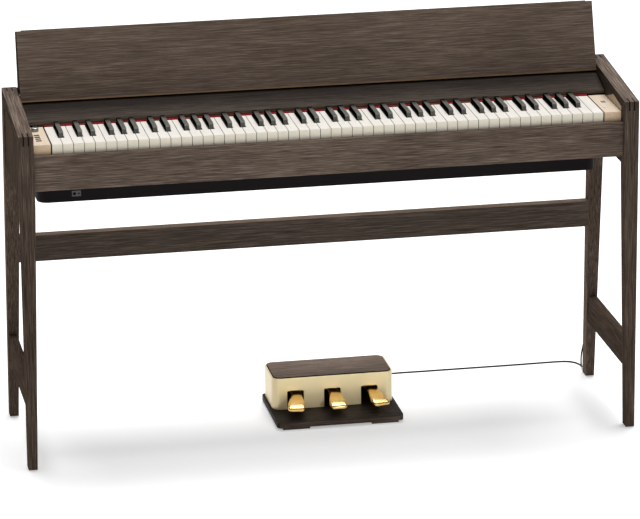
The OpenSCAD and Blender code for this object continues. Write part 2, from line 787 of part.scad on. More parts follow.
// Two directions square to the cord at a point; the cord never runs along this guide direction
CORD_GUIDE = unit([0.3, -0.5, 0.81]);
function cord_side(i) = unit(cross(cord_dir(i), CORD_GUIDE));
function cord_lift(i) = cross(cord_side(i), cord_dir(i));
function cord_ring(i) = [
    for (k = [0:cord_sides - 1]) let (a = 360 * (k + 0.5) / cord_sides)
        CORD_ROUTE[i] + cord_d / 2 * (cos(a) * cord_side(i) + sin(a) * cord_lift(i))
];
cord_last = len(CORD_ROUTE) - 1;
cord_points = [for (i = [0:cord_last]) each cord_ring(i)];
cord_faces = concat(
    [[for (k = [0:cord_sides - 1]) k]],
    [for (i = [0:cord_last - 1], k = [0:cord_sides - 1]) let (n = (k + 1) % cord_sides, a = i * cord_sides)
        [a + k, a + cord_sides + k, a + cord_sides + n, a + n]],
    [[for (k = [cord_sides - 1:-1:0]) cord_last * cord_sides + k]]
);

module pedal_cord() part(black) polyhedron(cord_points, cord_faces, convexity = 6);

// Tapered sleeve where the cord leaves the shell, with a flange against the shell's outside
module cord_relief() part(black)
    translate([CORD_ROUTE[0][0], shell_y + shell_d, CORD_ROUTE[0][2]]) rotate([-90, 0, 0]) {
        translate([0, 0, -shell_wall - 2]) cylinder(h = shell_wall + 3, r = relief_bore_r);
        cylinder(h = 2, r = 5);
        cylinder(h = CORD_ROUTE[0][1] - shell_y - shell_d, r1 = 4, r2 = 2.4);
    }

module cord_plug() part(black) {
    rod_y(jack_face, plug_back, plug_x, plug_z, plug_r);
    rod_y(jack_face - plug_pin, jack_face + 1, plug_x, plug_z, small_jack_r);
}

// Clips screwed to the back of the right rear leg, gripping the cord
module cord_clips() part(black) for (z = clip_zs)
    translate([clip_x, leg_rear(z), z]) rotate([atan(rear_lean), 0, 0]) difference() {
        translate([-clip_w / 2, 0, -clip_h / 2]) cube([clip_w, clip_d, clip_h]);
        translate([0, cord_behind_leg, -clip_h]) cylinder(h = 2 * clip_h, r = cord_d / 2 - clip_grip);
    }

// ---------------------------------------------------------------- nodes

front_legs();
rear_legs();
arms();
corner_splines();
side_panels();
side_stretchers();
back_beam();
foot_glides();
stand_bolts();
front_rail();
key_bed();
chassis_tray();
end_block_left();
end_block_right();
fallboard();
felt_strip();
top_board();
back_board();
arm_liners();
lid_back_hinge();
lid_rear_leaf();
lid_fold_hinge();
lid_front_leaf();
lid_edge_strip();
lid_guide_pins();
volume_knob();
sound_button_1();
sound_button_2();
sound_button_3();
sound_button_4();
power_button();
display_window();
headphone_jacks();
speakers();
circuit_boards();
key_pivot_rail();
rear_jacks();
keys_c();
keys_d();
keys_e();
keys_f();
keys_g();
keys_a();
keys_b();
keys_c_sharp();
keys_d_sharp();
keys_f_sharp();
keys_g_sharp();
keys_a_sharp();
pedal_base();
pedal_shell();
pedal_top_board();
pedal_left();
pedal_middle();
pedal_right();
pedal_shaft();
pedal_cord();
cord_relief();
cord_plug();
cord_clips();
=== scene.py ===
"""Looks for the digital piano on stand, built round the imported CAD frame. Metres, in the frame's own axes."""

import json
import math

import bmesh
import bpy
from mathutils import Matrix, Vector


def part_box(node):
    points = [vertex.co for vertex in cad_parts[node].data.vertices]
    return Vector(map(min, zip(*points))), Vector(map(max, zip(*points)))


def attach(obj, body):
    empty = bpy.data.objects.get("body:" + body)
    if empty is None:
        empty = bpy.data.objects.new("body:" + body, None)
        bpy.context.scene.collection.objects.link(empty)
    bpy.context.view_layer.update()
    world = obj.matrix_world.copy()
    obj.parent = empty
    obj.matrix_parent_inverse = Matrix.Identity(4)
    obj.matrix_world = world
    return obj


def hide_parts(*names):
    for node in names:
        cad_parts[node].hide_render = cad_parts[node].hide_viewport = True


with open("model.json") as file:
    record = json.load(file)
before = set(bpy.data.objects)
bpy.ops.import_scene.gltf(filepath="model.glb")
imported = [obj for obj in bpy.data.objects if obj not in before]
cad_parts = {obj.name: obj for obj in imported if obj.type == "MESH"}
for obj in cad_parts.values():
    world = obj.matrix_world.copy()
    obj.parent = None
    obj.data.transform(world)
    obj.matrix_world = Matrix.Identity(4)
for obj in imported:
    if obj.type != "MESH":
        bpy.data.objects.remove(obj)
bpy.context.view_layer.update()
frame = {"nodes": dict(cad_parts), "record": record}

MM = 0.001
NODES = frame["nodes"]
BODY_OF = {n: body for body, members in frame["record"]["behaviour"]["bodies"].items() for n in members}

# The frame's origin lies this far behind the front legs' front faces, in mm
HALF_DEPTH = 197


def link_object(name, data):
    """Makes an object for some data and puts it in the scene."""
    made = bpy.data.objects.new(name, data)
    bpy.context.scene.collection.objects.link(made)
    return made


# ---------------------------------------------------------------- camera

CAMERA_AT = (-1.556, -8.358, 3.042)
CAMERA_YAW = math.radians(10.58)
CAMERA_PITCH = math.radians(17.38)
CAMERA_ROLL = math.radians(-0.50)
LENS_MM = 223.4


def add_camera():
    """A long lens from the left, looking down on the keyboard."""
    forward = Vector((
        math.sin(CAMERA_YAW) * math.cos(CAMERA_PITCH),
        math.cos(CAMERA_YAW) * math.cos(CAMERA_PITCH),
        -math.sin(CAMERA_PITCH),
    ))
    level = Vector((math.cos(CAMERA_YAW), -math.sin(CAMERA_YAW), 0))
    up = level.cross(forward)
    right = level * math.cos(CAMERA_ROLL) + up * math.sin(CAMERA_ROLL)
    up = up * math.cos(CAMERA_ROLL) - level * math.sin(CAMERA_ROLL)
    data = bpy.data.cameras.new("camera")
    data.sensor_width = 36
    data.lens = LENS_MM
    data.clip_end = 100
    camera = link_object("camera", data)
    turn = Matrix((right, up, -forward)).transposed().to_4x4()
    camera.matrix_world = Matrix.Translation(CAMERA_AT) @ turn
    bpy.context.scene.camera = camera


# ---------------------------------------------------------------- shader helper

# A noise stays mostly between these values, so colours and roughnesses are spread over them
NOISE_LOW = 0.3
NOISE_HIGH = 0.7


class Shade:
    """One material: adds nodes, links them and sets the Principled shader's own sockets."""

    def __init__(self, name, color=None, roughness=0.5, metallic=0.0, **sockets):
        self.material = bpy.data.materials.new(name)
        self.material.use_nodes = True
        self.nodes = self.material.node_tree.nodes
        self.links = self.material.node_tree.links
        self.bsdf = self.nodes["Principled BSDF"]
        self.bsdf.inputs["Roughness"].default_value = roughness
        self.bsdf.inputs["Metallic"].default_value = metallic
        if color is not None:
            self.bsdf.inputs["Base Color"].default_value = (*color, 1)
        for socket, value in sockets.items():
            self.bsdf.inputs[socket.replace("_", " ").title().replace("Ior", "IOR")].default_value = value

    def node(self, kind, inputs=None, **settings):
        """Adds a node. An input is a socket to link from or a plain value."""
        node = self.nodes.new(kind)
        for key, value in settings.items():
            setattr(node, key, value)
        for key, value in (inputs or {}).items():
            if isinstance(value, bpy.types.NodeSocket):
                self.links.new(value, node.inputs[key])
            else:
                node.inputs[key].default_value = value
        return node

    def coords(self, scale=(1, 1, 1), move=(0, 0, 0), tilt=0.0):
        """The object's own coordinates, tilted about X and then scaled and moved."""
        place = self.node("ShaderNodeTexCoord").outputs["Object"]
        if tilt:
            place = self.node("ShaderNodeMapping", {"Vector": place, "Rotation": (tilt, 0, 0)}).outputs[0]
        inputs = {"Vector": place, "Scale": scale, "Location": move}
        return self.node("ShaderNodeMapping", inputs).outputs[0]

    def noise(self, vector, scale=1.0, detail=2.0, roughness=0.5):
        """A noise of about 0 to 1 at the given coordinates."""
        inputs = {"Vector": vector, "Scale": scale, "Detail": detail, "Roughness": roughness}
        return self.node("ShaderNodeTexNoise", inputs).outputs["Fac"]

    def ramp(self, factor, stops):
        """A colour ramp through (place, colour) stops."""
        node = self.node("ShaderNodeValToRGB", {"Fac": factor})
        elements = node.color_ramp.elements
        while len(elements) < len(stops):
            elements.new(0.5)
        for element, (at, color) in zip(elements, stops):
            element.position = at
            element.color = (*color, 1)
        return node.outputs["Color"]

    def levels(self, value, low, high, to_low=0.0, to_high=1.0):
        """Maps low to high onto another range, and keeps within it."""
        inputs = {"Value": value, "From Min": low, "From Max": high, "To Min": to_low, "To Max": to_high}
        return self.node("ShaderNodeMapRange", inputs).outputs[0]

    def vary(self, noise, low, high):
        """A value that goes from low to high over a noise's usual range."""
        return self.levels(noise, NOISE_LOW, NOISE_HIGH, low, high)

    def tint(self, noise, low, high):
        """A colour that goes from low to high over a noise's usual range."""
        return self.ramp(noise, [(NOISE_LOW, low), (NOISE_HIGH, high)])

    def math(self, operation, a, b):
        return self.node("ShaderNodeMath", {0: a, 1: b}, operation=operation).outputs[0]

    def weighted(self, *parts):
        """The sum of (value, weight) pairs."""
        first, *others = [self.math("MULTIPLY", value, weight) for value, weight in parts]
        for other in others:
            first = self.math("ADD", first, other)
        return first

    def mix(self, factor, a, b, blend="MIX"):
        """The first colour where the factor is 0, blended with the second where it is 1."""
        node = self.node("ShaderNodeMix", data_type="RGBA", blend_type=blend)
        for socket, value in ((node.inputs[0], factor), (node.inputs[6], a), (node.inputs[7], b)):
            if isinstance(value, bpy.types.NodeSocket):
                self.links.new(value, socket)
            else:
                socket.default_value = value if isinstance(value, (int, float)) else (*value, 1)
        return node.outputs[2]

    def multiply(self, factor, color, tone):
        """Multiplies a colour by a tone as far as the factor says."""
        changed = self.mix(1.0, color, (tone, tone, tone), blend="MULTIPLY")
        return self.mix(factor, color, changed)

    def facing(self, axis, low, high):
        """Rises from 0 to 1 as a face turns towards one of its object's own axes, either way along it."""
        normal = self.node("ShaderNodeTexCoord").outputs["Normal"]
        part = self.node("ShaderNodeSeparateXYZ", {0: normal}).outputs[axis]
        size = self.node("ShaderNodeMath", {0: part}, operation="ABSOLUTE").outputs[0]
        return self.levels(size, low, high)

    def along_y(self, start, end):
        """Rises from 0 to 1 between two places along its object's Y axis, in metres."""
        place = self.node("ShaderNodeTexCoord").outputs["Object"]
        y = self.node("ShaderNodeSeparateXYZ", {0: place}).outputs["Y"]
        return self.levels(y, start, end)

    def bump(self, height, distance, strength):
        """Bends the surface's shading by a height, over a distance in metres."""
        inputs = {"Height": height, "Distance": distance, "Strength": strength}
        self.links.new(self.node("ShaderNodeBump", inputs).outputs[0], self.bsdf.inputs["Normal"])

    def set(self, socket, value):
        """Links a value to one of the Principled shader's sockets."""
        self.links.new(value, self.bsdf.inputs[socket])


# ---------------------------------------------------------------- materials

WALNUT_DARK = (0.030, 0.021, 0.0155)
WALNUT_MID = (0.070, 0.051, 0.039)
WALNUT_LIGHT = (0.145, 0.109, 0.085)
# Noise scales of the wood's figure, along the grain and across it, and each layer's share of the figure
BROAD_SCALES = (2, 70)
STREAK_SCALES = (14, 520)
FINE_SCALES = (26, 1200)
BROAD_SHARE = 0.12
STREAK_SHARE = 0.66
FINE_SHARE = 0.22
# The figure's value that gets the middle walnut colour, and how far from it the dark and light ones lie
FIGURE_MIDDLE = 0.50
FIGURE_SPREAD = 0.16
# A very broad noise that shifts the whole figure a little, up or down
WANDER_SCALE = (3, 3, 3)
WANDER_SHIFT = 0.03
# Where the finest lines turn into open pores, how far the pores show and how dark they are
PORE_RANGE = (0.54, 0.64)
PORE_SHOW = 0.55
PORE_TONE = 0.35
AXES = {"X": 0, "Y": 1, "Z": 2}
# The arms' slope towards the back, which their grain follows
ARM_SLOPE = math.radians(5.3)
# Where the black keys' tops grow darker towards their rear ends, a painted shade and a painted reflection of
# the dark fallboard, in metres along Y
BLACK_SHADE_Y = (-0.062, -0.036)


def along(axis, length_scale, cross_scale):
    """A mapping scale that draws a texture out along one axis."""
    scale = [cross_scale] * 3
    scale[AXES[axis]] = length_scale
    return tuple(scale)


def toned(color, tone):
    """A colour multiplied by a tone, never over 1."""
    return [min(1, c * tone) for c in color]


def clouded(shade, color, scale, spread):
    """A colour that is cloudy by the spread to either side."""
    cloud = shade.noise(shade.coords(), scale=scale, detail=4)
    return shade.tint(cloud, toned(color, 1 - spread), toned(color, 1 + spread))


def wood(name, grain, tone=1.0, seed=0.0, roughness=0.56, contrast=1.0, gloss=0.08, tilt=0.0, turned=None,
         painted_shade_y=None):
    """Open-grained wood under a dark brushed stain, its grain along one axis, tilted about X if need be.

    turned is (axis, tone): faces turned towards that axis have their colour multiplied by the tone, and
    no gloss: painted light or painted shade on those faces. fade, a painted shade, is (start, end, tone):
    from start to end along Y, in metres, the colour is multiplied down to the tone.
    """
    shade = Shade(name, roughness=roughness, specular_ior_level=gloss)
    move = (seed, seed * 1.7, seed * 0.6)

    def layer(scales, softness):
        return shade.noise(shade.coords(along(grain, *scales), move, tilt), detail=3, roughness=softness)

    wander = shade.noise(shade.coords(WANDER_SCALE, move), detail=1)
    broad = layer(BROAD_SCALES, 0.55)
    streak = layer(STREAK_SCALES, 0.6)
    fine = layer(FINE_SCALES, 0.6)
    figure = shade.weighted((broad, BROAD_SHARE), (streak, STREAK_SHARE), (fine, FINE_SHARE))
    figure = shade.math("ADD", figure, shade.vary(wander, -WANDER_SHIFT, WANDER_SHIFT))
    half = FIGURE_SPREAD / contrast
    color = shade.ramp(figure, [
        (FIGURE_MIDDLE - half, toned(WALNUT_DARK, tone)),
        (FIGURE_MIDDLE, toned(WALNUT_MID, tone)),
        (FIGURE_MIDDLE + half, toned(WALNUT_LIGHT, tone)),
    ])
    pores = shade.levels(fine, *PORE_RANGE)
    pore_color = toned(toned(WALNUT_DARK, tone), PORE_TONE)
    color = shade.mix(shade.math("MULTIPLY", pores, PORE_SHOW), color, pore_color)
    # Painted shade: the colour is darkened step by step along Y.
    if painted_shade_y:
        start, end, change = painted_shade_y
        color = shade.multiply(shade.along_y(start, end), color, change)
    # Painted light or painted shade: faces turned towards the axis are lightened or darkened.
    if turned:
        axis, change = turned
        towards = shade.facing(axis, 0.75, 0.92)
        color = shade.multiply(towards, color, change)
        shade.set("Specular IOR Level", shade.levels(towards, 0, 1, gloss, 0))
    shade.set("Base Color", color)
    shade.set("Roughness", shade.vary(streak, roughness + 0.10, roughness - 0.08))
    shade.bump(shade.math("SUBTRACT", shade.math("MULTIPLY", streak, 0.6), pores), 0.00035, 0.6)
    return shade.material


def plastic(name, color, roughness, grain=0.02, grain_scale=2500, **sockets):
    """Moulded plastic or paint: a faint unevenness of colour and a fine surface texture."""
    shade = Shade(name, roughness=roughness, **sockets)
    shade.set("Base Color", clouded(shade, color, scale=35, spread=0.05))
    speck = shade.noise(shade.coords(), scale=grain_scale, detail=2)
    shade.set("Roughness", shade.vary(speck, roughness - 0.05, roughness + 0.06))
    shade.bump(speck, 0.0002, grain)
    return shade.material


def metal(name, color, roughness, brushed="X", wear=0.05, strength=0.05):
    """Metal with fine brush marks along one axis and a little unevenness."""
    shade = Shade(name, roughness=roughness, metallic=1.0)
    marks = shade.noise(shade.coords(along(brushed, 12, 900)), detail=3, roughness=0.7)
    shade.set("Base Color", clouded(shade, color, scale=28, spread=wear))
    shade.set("Roughness", shade.vary(marks, roughness - 0.05, roughness + 0.07))
    shade.bump(marks, 0.0001, strength)
    return shade.material


def white_key_material():
    """Ivory-like key tops: warm white, faint fibres along each key, soft gloss, and near-black sides that are
    painted shade in the gaps between keys.
    """
    shade = Shade("key_ivory", roughness=0.30, coat_weight=0.15, coat_roughness=0.2)
    fibre = shade.noise(shade.coords(along("Y", 18, 900)), detail=3)
    cloud = shade.noise(shade.coords(), scale=30, detail=2)
    both = shade.weighted((fibre, 0.6), (cloud, 0.4))
    ivory = shade.tint(both, (0.80, 0.755, 0.69), (0.88, 0.845, 0.79))
    front = shade.tint(both, (0.84, 0.78, 0.63), (0.90, 0.84, 0.70))
    # The key sides' colour is painted shade in the gaps between keys.
    gap_shade = shade.tint(fibre, (0.085, 0.062, 0.040), (0.13, 0.10, 0.066))
    color = shade.mix(shade.facing("Y", 0.75, 0.95), ivory, front)
    shade.set("Base Color", shade.mix(shade.facing("X", 0.75, 0.95), color, gap_shade))
    shade.set("Roughness", shade.vary(fibre, 0.27, 0.38))
    shade.bump(fibre, 0.0001, 0.08)
    return shade.material


def black_key_material():
    """Ebony-like black keys: charcoal with fine lighter fibres on top, partly grain and partly a painted
    reflection, and near-black sides and rear ends, a painted shade.
    """
    shade = Shade("key_ebony", roughness=0.42)
    fibre = shade.noise(shade.coords(along("Y", 30, 1300)), detail=4, roughness=0.65)
    side = shade.ramp(fibre, [(0.35, (0.002, 0.002, 0.002)), (0.75, (0.007, 0.007, 0.007))])
    # The tops' lighter fibres are grain and, in part, a painted reflection.
    top = shade.ramp(fibre, [(0.35, (0.05, 0.05, 0.045)), (0.70, (0.19, 0.19, 0.165))])
    # The sides and the rear ends get the near-black copy: painted shade.
    dark = shade.math("MAXIMUM", shade.along_y(*BLACK_SHADE_Y), shade.facing("X", 0.05, 0.25))
    shade.set("Base Color", shade.mix(dark, top, side))
    shade.set("Specular IOR Level", shade.levels(dark, 0, 1, 0.2, 0))
    shade.set("Roughness", shade.vary(fibre, 0.36, 0.50))
    shade.bump(fibre, 0.00025, 0.35)
    return shade.material


def felt_material():
    """Deep red felt with a fuzzy, uneven surface."""
    shade = Shade("felt_red", roughness=0.95, sheen_weight=0.4, sheen_roughness=0.5)
    shade.bsdf.inputs["Sheen Tint"].default_value = (0.6, 0.05, 0.05, 1)
    fuzz = shade.noise(shade.coords(), scale=1600, detail=4, roughness=0.7)
    shade.set("Base Color", shade.tint(fuzz, (0.16, 0.001, 0.004), (0.34, 0.004, 0.010)))
    shade.bump(fuzz, 0.0005, 0.6)
    return shade.material


def beige_material(name, tone=1.0):
    """Smooth beige with a faint wood-like figure, more golden and a little darker on upright faces, a painted
    shade.
    """
    shade = Shade(name, roughness=0.42, coat_weight=0.1, coat_roughness=0.3)
    grain = shade.noise(shade.coords(along("Y", 10, 260)), detail=4, roughness=0.55)
    top = shade.tint(grain, toned((0.64, 0.52, 0.40), tone), toned((0.74, 0.62, 0.49), tone))
    side = shade.tint(grain, toned((0.66, 0.47, 0.29), tone), toned((0.76, 0.57, 0.37), tone))
    # Upright faces get the darker, more golden copy: painted shade.
    shade.set("Base Color", shade.mix(shade.facing("Z", 0.3, 0.8), side, top))
    shade.set("Roughness", shade.vary(grain, 0.38, 0.48))
    shade.bump(grain, 0.0001, 0.1)
    return shade.material


def shell_material():
    """Champagne-gold satin paint with fine metal flakes, darker on the sides as painted shade."""
    shade = Shade("shell_champagne", roughness=0.36, metallic=0.5, coat_weight=0.05, coat_roughness=0.2)
    flake = shade.noise(shade.coords(), scale=2200, detail=2)
    cloud = shade.noise(shade.coords(), scale=12, detail=2)
    both = shade.weighted((flake, 0.7), (cloud, 0.3))
    front = shade.tint(both, (0.89, 0.73, 0.41), (0.97, 0.82, 0.50))
    side = shade.tint(both, (0.62, 0.50, 0.29), (0.70, 0.58, 0.36))
    # Side faces get the darker copy: painted shade.
    shade.set("Base Color", shade.mix(shade.facing("X", 0.35, 0.95), front, side))
    shade.set("Roughness", shade.vary(flake, 0.30, 0.44))
    shade.bump(flake, 0.0001, 0.06)
    return shade.material


def make_materials():
    """Every material by the short name that the tables and builders use."""
    return {
        "leg": wood("walnut_upright", "Z", tone=1.02, seed=1.3, gloss=0.0),
        # The arms' high tone is a painted sheen on their tops, and their side faces get painted shade.
        "arm": wood("walnut_arm", "Y", tone=1.80, seed=4.1, contrast=1.3, gloss=0.08, tilt=-ARM_SLOPE,
                    turned=("X", 0.45)),
        "panel": wood("walnut_side", "Z", tone=0.85, seed=4.9, gloss=0.0),
        "stretcher": wood("walnut_stretcher", "Y", tone=1.0, seed=6.6, gloss=0.0),
        "rail": wood("walnut_rail", "X", tone=1.58, seed=2.2, contrast=1.25),
        # The rear legs' side faces are lightened 1.7 times: painted light.
        "rear_leg": wood("walnut_rear_leg", "Z", tone=1.05, seed=2.9, gloss=0.0, turned=("X", 1.7)),
        # The beam's upward and downward faces are lightened 2.6 times: painted light.
        "beam": wood("walnut_beam", "X", tone=0.84, seed=7.4, turned=("Z", 2.6)),
        # The lid's end faces are darkened to a quarter: painted shade at the folded leaves' ends.
        "lid": wood("walnut_lid", "X", tone=1.90, seed=5.7, contrast=0.75, turned=("X", 0.25)),
        # The fallboard's front-facing lip is lightened three times, a painted light, and it darkens towards the
        # lid, a painted shade.
        "board": wood("walnut_fallboard", "X", tone=0.64, seed=9.3, contrast=0.9, turned=("Y", 3.0),
                      painted_shade_y=(-0.010, 0.030, 0.45)),
        "pedal_top": wood("walnut_pedal_top", "X", tone=2.35, seed=3.3),
        # The pedal base's low tone is painted shade over its top, and its front faces are lightened 2.4 times
        # as painted light.
        "pedal_base": wood("walnut_pedal_base", "X", tone=0.40, seed=6.1, turned=("Y", 2.4)),
        "stain": wood("black_stain", "X", tone=0.30, seed=8.8, roughness=0.6),
        "spline": wood("spline_stain", "Y", tone=0.08, seed=0.7, roughness=0.6),
        "white_key": white_key_material(),
        "black_key": black_key_material(),
        "felt": felt_material(),
        "beige": beige_material("block_beige"),
        # The liners' beige is a darker copy of the blocks' beige: painted shade inside the arms.
        "liner": beige_material("liner_beige", tone=0.62),
        "shell": shell_material(),
        "chassis": plastic("powder_black", (0.0095, 0.0078, 0.0078), 0.6, grain=0.25, grain_scale=1400,
                           specular_ior_level=0.05),
        "dark_plastic": plastic("plastic_dark", (0.028, 0.026, 0.025), 0.5, grain=0.1),
        "jack": plastic("plastic_jack", (0.045, 0.042, 0.040), 0.45),
        "white_plastic": plastic("plastic_white", (0.80, 0.80, 0.78), 0.35),
        "display": plastic("display_window", (0.28, 0.29, 0.29), 0.15, grain=0.0, coat_weight=0.5),
        "rubber": plastic("rubber_black", (0.012, 0.012, 0.012), 0.62, grain=0.15, grain_scale=1800),
        "cord": plastic("cord_sheath", (0.006, 0.006, 0.006), 0.6, grain=0.1, grain_scale=1800,
                        specular_ior_level=0.02),
        "circuit": plastic("circuit_green", (0.01, 0.09, 0.04), 0.4),
        "steel": metal("steel_zinc", (0.56, 0.56, 0.57), 0.34),
        "bronze": metal("bronzed_steel", (0.07, 0.055, 0.042), 0.5),
        "edge_brass": metal("brass_edge", (0.24, 0.155, 0.085), 0.48, wear=0.12),
        "silver": metal("knob_silver", (0.80, 0.80, 0.82), 0.30),
        "knob_side": metal("knob_side", (0.26, 0.26, 0.26), 0.36, brushed="Z"),
        "gold": metal("pedal_gold", (0.87, 0.59, 0.23), 0.21, brushed="Y", wear=0.03, strength=0.015),
    }


# ---------------------------------------------------------------- geometry helpers

# Points closer than this are one point, in metres
WELD = 1e-6
# Faces that meet at less than this are one flat face; edges sharper than the second are rounded
FLAT_ANGLE = math.radians(0.4)
SHARP_ANGLE = math.radians(28)


def add_mesh(name, bm, material, node, smooth=True):
    """Turns a bmesh into a piece that stands for a CAD node and rides on that node's body."""
    bmesh.ops.recalc_face_normals(bm, faces=bm.faces)
    mesh = bpy.data.meshes.new(name)
    bm.to_mesh(mesh)
    bm.free()
    mesh.polygons.foreach_set("use_smooth", [smooth] * len(mesh.polygons))
    mesh.materials.append(material)
    piece = link_object(name, mesh)
    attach(piece, BODY_OF[node])
    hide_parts(node)
    return piece


def clean_copy(node):
    """A CAD node's shape with its flat faces made whole."""
    bm = bmesh.new()
    bm.from_mesh(NODES[node].data)
    bmesh.ops.remove_doubles(bm, verts=bm.verts, dist=WELD)
    bmesh.ops.dissolve_limit(bm, angle_limit=FLAT_ANGLE, verts=bm.verts, edges=bm.edges)
    return bm


def weigh_normals(piece):
    """Lets the large faces set the shading, so that only the rounded edges look round."""
    normals = piece.modifiers.new("normals", "WEIGHTED_NORMAL")
    normals.keep_sharp = False


def refine(node, material, bevel_mm, segments=2):
    """Rebuilds a CAD node as clean polygons with rounded edges."""
    bm = clean_copy(node)
    sharp = [e for e in bm.edges if len(e.link_faces) == 2 and e.calc_face_angle(0) > SHARP_ANGLE]
    bmesh.ops.bevel(bm, geom=sharp, offset=bevel_mm * MM, segments=segments, profile=0.5,
                    affect="EDGES", clamp_overlap=True)
    piece = add_mesh(node + "_look", bm, material, node)
    weigh_normals(piece)
    return piece


def dress(node, material):
    """Keeps a CAD node as it is and gives it a finished material."""
    data = NODES[node].data
    data.materials.clear()
    data.materials.append(material)


def rings_to_bmesh(rings):
    """Skins a list of rings, each a list of points, into a closed tube."""
    bm = bmesh.new()
    made = [[bm.verts.new(point) for point in ring] for ring in rings]
    for low, high in zip(made, made[1:]):
        count = len(low)
        for k in range(count):
            bm.faces.new((low[k], low[(k + 1) % count], high[(k + 1) % count], high[k]))
    bm.faces.new(made[0][::-1])
    bm.faces.new(made[-1])
    return bm


def lathe(profile, at, axis, steps, ripple=None):
    """Turns (radius, height) points in mm round an axis. ripple(radius, step) changes a point's radius."""
    turn = Vector((0, 0, 1)).rotation_difference(Vector(axis)).to_matrix()
    rings = []
    for radius, height in profile:
        ring = []
        for k in range(steps):
            angle = 2 * math.pi * k / steps
            r = radius * MM + (ripple(radius, k) if ripple else 0)
            ring.append(Vector(at) + turn @ Vector((r * math.cos(angle), r * math.sin(angle), height * MM)))
        rings.append(ring)
    return rings_to_bmesh(rings)


# ---------------------------------------------------------------- solid parts

# The nodes that are rebuilt with rounded edges: material, and the edges' radius in mm
EDGES = {
    "front_legs": ("leg", 0.9), "rear_legs": ("rear_leg", 0.9), "arms": ("arm", 0.7),
    "corner_splines": ("spline", 0.15), "side_panels": ("panel", 0.6), "side_stretchers": ("stretcher", 0.8),
    "back_beam": ("beam", 1.0), "front_rail": ("rail", 1.0), "key_bed": ("stain", 0.8),
    "fallboard": ("board", 0.8), "top_board": ("board", 0.8), "back_board": ("stain", 0.8),
    "lid_rear_leaf": ("lid", 0.8), "lid_front_leaf": ("lid", 0.8), "lid_edge_strip": ("edge_brass", 0.4),
    "end_block_left": ("beige", 0.7), "end_block_right": ("beige", 0.7),
    "chassis_tray": ("chassis", 0.8), "felt_strip": ("felt", 0.5), "pedal_base": ("pedal_base", 0.9),
    "pedal_top_board": ("pedal_top", 1.0), "pedal_shell": ("shell", 1.6),
    "power_button": ("white_plastic", 0.5), "display_window": ("display", 0.3),
    "headphone_jacks": ("jack", 0.4), "foot_glides": ("rubber", 0.3),
    "cord_clips": ("dark_plastic", 0.5),
}
KEYS_WHITE = ["keys_c", "keys_d", "keys_e", "keys_f", "keys_g", "keys_a", "keys_b"]
KEYS_BLACK = ["keys_c_sharp", "keys_d_sharp", "keys_f_sharp", "keys_g_sharp", "keys_a_sharp"]
SOUND_BUTTONS = [f"sound_button_{n}" for n in range(1, 5)]
WHITE_KEY_EDGE = 0.7
BLACK_KEY_EDGE = 2.0
BUTTON_EDGE = 0.5
# The nodes that keep their CAD shape
PLAIN = {
    "stand_bolts": "steel",
    "lid_back_hinge": "bronze", "lid_fold_hinge": "bronze", "lid_guide_pins": "silver",
    "speakers": "dark_plastic", "circuit_boards": "circuit", "key_pivot_rail": "steel",
    "rear_jacks": "jack", "pedal_shaft": "steel",
}

# Corners of the liners' beige part seen from the side, in mm from the front legs' front faces: (y, z)
LINER_LOW = (156, 734.5)
LINER_PEAK = (96, 753.5)
LINER_FRONT = (23, 742)


def build_liners(materials):
    """Thin liners on the arms: beige beside the end blocks, with the fallboard's material behind and above two
    slanted cuts.
    """
    bm = clean_copy("arm_liners")
    cuts = []
    for (y0, z0), (y1, z1) in ((LINER_LOW, LINER_PEAK), (LINER_PEAK, LINER_FRONT)):
        point = Vector((0, (y0 - HALF_DEPTH) * MM, z0 * MM))
        outward = Vector((0, z1 - z0, y0 - y1)).normalized()
        cuts.append((point, outward))
        bmesh.ops.bisect_plane(bm, geom=bm.verts[:] + bm.edges[:] + bm.faces[:], dist=WELD, plane_co=point,
                               plane_no=outward)
    bm.faces.index_update()
    behind_cuts = [f.index for f in bm.faces
               if any((f.calc_center_median() - point).dot(outward) > 0 for point, outward in cuts)]
    piece = add_mesh("arm_liners_look", bm, materials["liner"], "arm_liners", smooth=False)
    piece.data.materials.append(materials["board"])
    for index in behind_cuts:
        piece.data.polygons[index].material_index = 1


def paint_edge_shadow(piece, material):
    """Gives a board's side faces another material, for a painted shadow line along the board's edges."""
    piece.data.materials.append(material)
    for face in piece.data.polygons:
        if abs(face.normal.z) < 0.95:
            face.material_index = 1


def build_solid_parts(materials):
    """Every piece that follows its CAD shape: frame, cabinet, lid, keys, buttons and inner parts."""
    for node, (material, bevel_mm) in EDGES.items():
        piece = refine(node, materials[material], bevel_mm)
        # The pedal top board's side faces get the near-black spline material: a painted shadow line where the
        # board sits in the shell.
        if node == "pedal_top_board":
            paint_edge_shadow(piece, materials["spline"])
    for node in SOUND_BUTTONS:
        refine(node, materials["dark_plastic"], BUTTON_EDGE)
    for node in KEYS_WHITE:
        refine(node, materials["white_key"], WHITE_KEY_EDGE)
    for node in KEYS_BLACK:
        refine(node, materials["black_key"], BLACK_KEY_EDGE, segments=3)
    for node, material in PLAIN.items():
        dress(node, materials[material])


# ---------------------------------------------------------------- knob

# The knob's outline from its stem to its top: (radius, height) in mm
KNOB_PROFILE = [
    (2.9, 0), (2.9, 13.9), (7.6, 14), (8.0, 14.6), (8.0, 20.6), (7.6, 21.4), (6.9, 21.9), (3.0, 21.8),
    (0.6, 21.7),
]
KNOB_TALL = 22 * MM
# The ribbed side: how tall the wide part is, less an edge at its foot and one at the knob's top
KNOB_SKIRT = 8 * MM
KNOB_FOOT_EDGE = 0.3 * MM
KNOB_TOP_EDGE = 1.2 * MM
KNOB_RIB_RADIUS = 7.8
KNOB_RIB_DEPTH = 0.22 * MM
KNOB_STEPS = 96


def knob_ribs(radius, step):
    """Every other point of the knob's side lies a little deeper."""
    return -KNOB_RIB_DEPTH if radius > KNOB_RIB_RADIUS and step % 2 else 0


